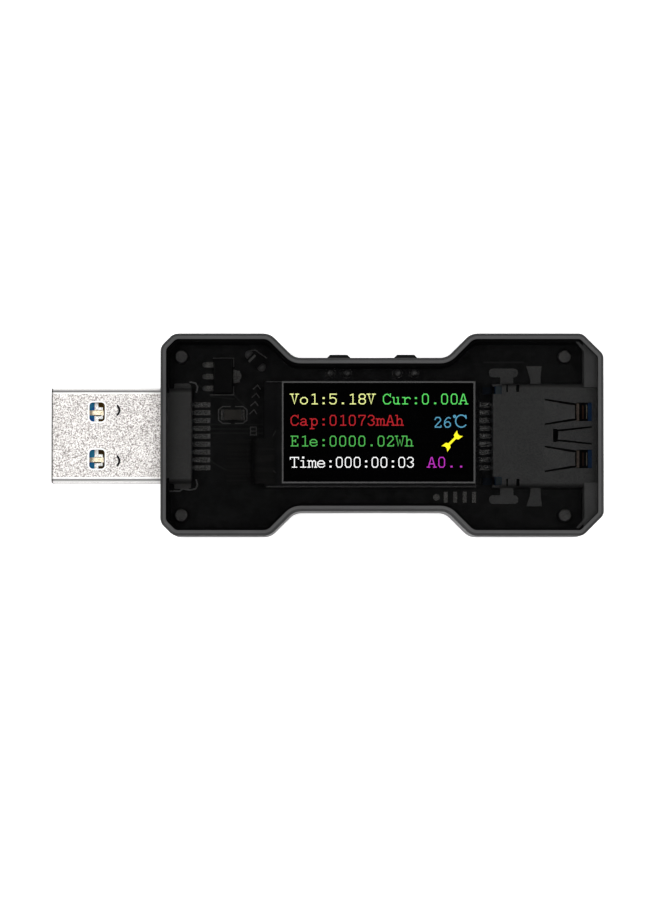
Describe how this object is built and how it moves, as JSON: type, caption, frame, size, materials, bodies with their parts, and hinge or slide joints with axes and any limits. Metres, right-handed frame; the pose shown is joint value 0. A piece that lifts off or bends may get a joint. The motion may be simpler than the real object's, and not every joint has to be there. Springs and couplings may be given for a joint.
{
  "type": "usb power meter",
  "caption": "In-line USB power meter: dog-bone case with a smoked window over a colour display, a USB-A plug, a USB-A socket and side push buttons.",
  "frame": {"origin": "on the flat back the meter lies on, midway between the plug's tip and the socket's end, on the plug's centre line", "axes": "+X from the plug to the socket, +Y to the side with the buttons, +Z out of the display"},
  "size_m": [0.0698, 0.0254, 0.011],
  "materials": {
    "case_plastic": "fine satin moulding",
    "smoked_acrylic": "clear gloss, smoked",
    "black_tape": "matt",
    "pin_steel": "bright",
    "grey_plastic": "matt",
    "board_mask": "semi-gloss solder mask",
    "tinned_copper": "tinned",
    "solder": "bright solder",
    "plug_metal": "nickel-plated sheet",
    "socket_metal": "nickel-plated sheet",
    "blue_plastic": "moulded",
    "gold_contact": "gold-plated",
    "foam": "soft foam",
    "white_plastic": "matt",
    "clear_acrylic": "clear",
    "display_glass": "clear",
    "screen_black": "glossy film",
    "flex_film": "dark polyimide film",
    "button_black": "matt",
    "spring_steel": "bright",
    "switch_plastic": "matt",
    "package_plastic": "moulded epoxy",
    "capacitor_ceramic": "matt",
    "resistor_ceramic": "matt"
  },
  "bodies": {
    "meter": {"bottom_shell": "case_plastic", "top_shell": "case_plastic", "smoked_window": "smoked_acrylic", "window_tape": "black_tape", "corner_pins": "pin_steel", "end_supports": "grey_plastic", "circuit_board": "board_mask", "board_pads": "tinned_copper", "switch_pins": "tinned_copper", "regulator_leads": "tinned_copper", "microcontroller_leads": "tinned_copper", "sense_amplifier_leads": "tinned_copper", "shunt_terminals": "tinned_copper", "solder_joints": "solder", "plug_shell": "plug_metal", "socket_shell": "socket_metal", "plug_insulator": "blue_plastic", "socket_insulator": "blue_plastic", "plug_power_contacts": "gold_contact", "plug_data_contacts": "gold_contact", "socket_power_contacts": "gold_contact", "socket_data_contacts": "gold_contact", "display_pad": "foam", "display_backlight": "white_plastic", "display_light_guide": "clear_acrylic", "display_glass": "display_glass", "display_polariser": "screen_black", "display_flex": "flex_film", "switch_dome_left": "spring_steel", "switch_dome_right": "spring_steel", "switch_bracket_left": "spring_steel", "switch_bracket_right": "spring_steel", "switch_body_left": "switch_plastic", "switch_body_right": "switch_plastic", "regulator_body": "package_plastic", "microcontroller_body": "package_plastic", "sense_amplifier_body": "package_plastic", "clamp_diode": "package_plastic", "backlight_transistor": "package_plastic", "shunt_resistor": "package_plastic", "filter_capacitor": "capacitor_ceramic", "chip_capacitors": "capacitor_ceramic", "chip_resistors": "resistor_ceramic"},
    "left_button": {"button_left": "button_black"},
    "right_button": {"button_right": "button_black"}
  },
  "joints": [
    {"name": "left_button_press", "type": "slide", "parent": "meter", "child": "left_button", "axis": [0, -1, 0], "range_m": [0, 0.00025], "stiffness_N_per_m": 4000, "springref_m": -0.00015},
    {"name": "right_button_press", "type": "slide", "parent": "meter", "child": "right_button", "axis": [0, -1, 0], "range_m": [0, 0.00025], "stiffness_N_per_m": 4000, "springref_m": -0.00015}
  ]
}
